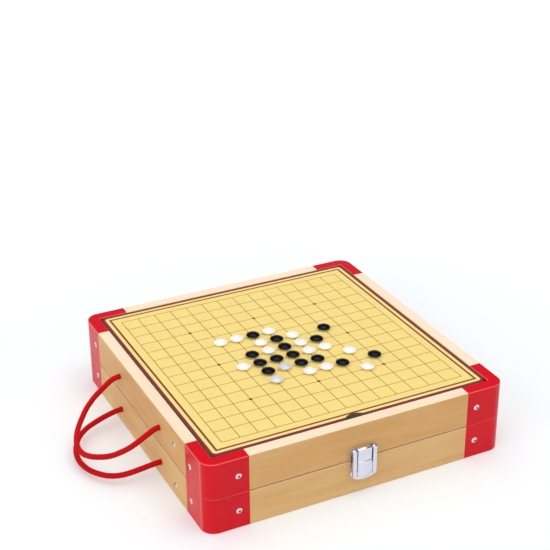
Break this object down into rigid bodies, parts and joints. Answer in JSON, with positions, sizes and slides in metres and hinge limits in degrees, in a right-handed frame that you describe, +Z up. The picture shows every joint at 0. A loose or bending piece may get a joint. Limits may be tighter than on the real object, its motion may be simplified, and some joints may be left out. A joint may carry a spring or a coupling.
{
  "type": "games compendium box",
  "caption": "Hinged square wooden games box with red corner blocks, rope handles, a latch, and thin game boards stacked in a recessed lid over a divided tray.",
  "frame": {"origin": "centre of the footprint, on the floor", "axes": "+X to the right along the latch side, +Y towards the hinges, +Z up"},
  "size_m": [0.4011, 0.3419, 0.082],
  "materials": {
    "beech": "sealed beech, satin",
    "red_paint": "red painted wood, satin",
    "plywood": "plain plywood",
    "grid_panel": "plywood with a printed grid",
    "divider_wood": "plain wood",
    "steel": "nickel-plated steel",
    "nickel": "bright nickel plate",
    "hinge_steel": "nickel-plated steel",
    "rope": "red braided cord",
    "pawns_red": "painted",
    "pawns_blue": "painted",
    "pawns_green": "painted",
    "pawns_yellow": "painted",
    "dice": "ivory white",
    "discs_dark": "stained, ring turned in the face",
    "discs_red": "reddish, ring turned in the face",
    "board_space": "printed thin fibreboard",
    "board_ladders": "printed thin fibreboard",
    "board_ludo": "printed thin fibreboard",
    "board_star": "printed thin fibreboard",
    "board_grid": "printed thin fibreboard",
    "stones_white": "white",
    "stones_black": "black"
  },
  "bodies": {
    "base": {"base_wall_front": "beech", "base_wall_back": "beech", "base_wall_left": "beech", "base_wall_right": "beech", "base_corner_fl": "red_paint", "base_corner_fr": "red_paint", "base_corner_bl": "red_paint", "base_corner_br": "red_paint", "base_bottom": "plywood", "base_divider_long": "divider_wood", "base_divider_cross": "divider_wood", "base_corner_screws": "steel", "base_divider_screws": "steel", "rope_lower": "rope", "rope_lower_knots": "rope", "latch_plate": "nickel", "latch_plate_screws": "steel", "latch_pin_low": "nickel", "hinge_left_base_leaf": "hinge_steel", "hinge_right_base_leaf": "hinge_steel", "hinge_left_pin": "hinge_steel", "hinge_right_pin": "hinge_steel", "hinge_screws_base": "steel", "pawns_red": "pawns_red", "pawns_blue": "pawns_blue", "pawns_green": "pawns_green", "pawns_yellow": "pawns_yellow", "dice": "dice", "discs_dark": "discs_dark", "discs_red": "discs_red"},
    "lid": {"lid_wall_front": "beech", "lid_wall_back": "beech", "lid_wall_left": "beech", "lid_wall_right": "beech", "lid_corner_fl": "red_paint", "lid_corner_fr": "red_paint", "lid_corner_bl": "red_paint", "lid_corner_br": "red_paint", "lid_panel": "grid_panel", "lid_divider": "divider_wood", "lid_corner_screws": "steel", "lid_divider_screws": "steel", "rope_upper": "rope", "rope_upper_knots": "rope", "latch_catch": "nickel", "latch_catch_screws": "steel", "hinge_left_lid_leaf": "hinge_steel", "hinge_right_lid_leaf": "hinge_steel", "hinge_screws_lid": "steel"},
    "latch_link": {"latch_link": "nickel", "latch_pin_top": "nickel"},
    "latch_lever": {"latch_lever": "nickel"},
    "board_space": {"board_space": "board_space"},
    "board_ladders": {"board_ladders": "board_ladders"},
    "board_ludo": {"board_ludo": "board_ludo"},
    "board_star": {"board_star": "board_star"},
    "board_grid": {"board_grid": "board_grid", "stones_white": "stones_white", "stones_black": "stones_black"}
  },
  "joints": [
    {"name": "lid_hinge", "type": "hinge", "parent": "base", "child": "lid", "pos_m": [0, 0.1681, 0.0385], "axis": [1, 0, 0], "range_deg": [-180, 0]},
    {"name": "latch_lever_hinge", "type": "hinge", "parent": "latch_link", "child": "latch_lever", "pos_m": [0, -0.1684, 0.0496], "axis": [1, 0, 0], "range_deg": [-110, 0]},
    {"name": "latch_link_hinge", "type": "hinge", "parent": "base", "child": "latch_link", "pos_m": [0, -0.1682, 0.0345], "axis": [-1, 0, 0], "range_deg": [-90, 0]},
    {"name": "lift_space", "type": "slide", "parent": "lid", "child": "board_space", "axis": [0, 0, 1], "range_m": [0, 0.072]},
    {"name": "lift_ladders", "type": "slide", "parent": "board_space", "child": "board_ladders", "axis": [0, 0, 1], "range_m": [0, 0.056]},
    {"name": "lift_ludo", "type": "slide", "parent": "board_ladders", "child": "board_ludo", "axis": [0, 0, 1], "range_m": [0, 0.056]},
    {"name": "lift_star", "type": "slide", "parent": "board_ludo", "child": "board_star", "axis": [0, 0, 1], "range_m": [0, 0.056]},
    {"name": "lift_grid", "type": "slide", "parent": "board_star", "child": "board_grid", "axis": [0, 0, 1], "range_m": [0, 0.056]}
  ],
  "couplings": [
    {"joint": "latch_link_hinge", "follows": "latch_lever_hinge", "ratio": 0.81818}
  ]
}
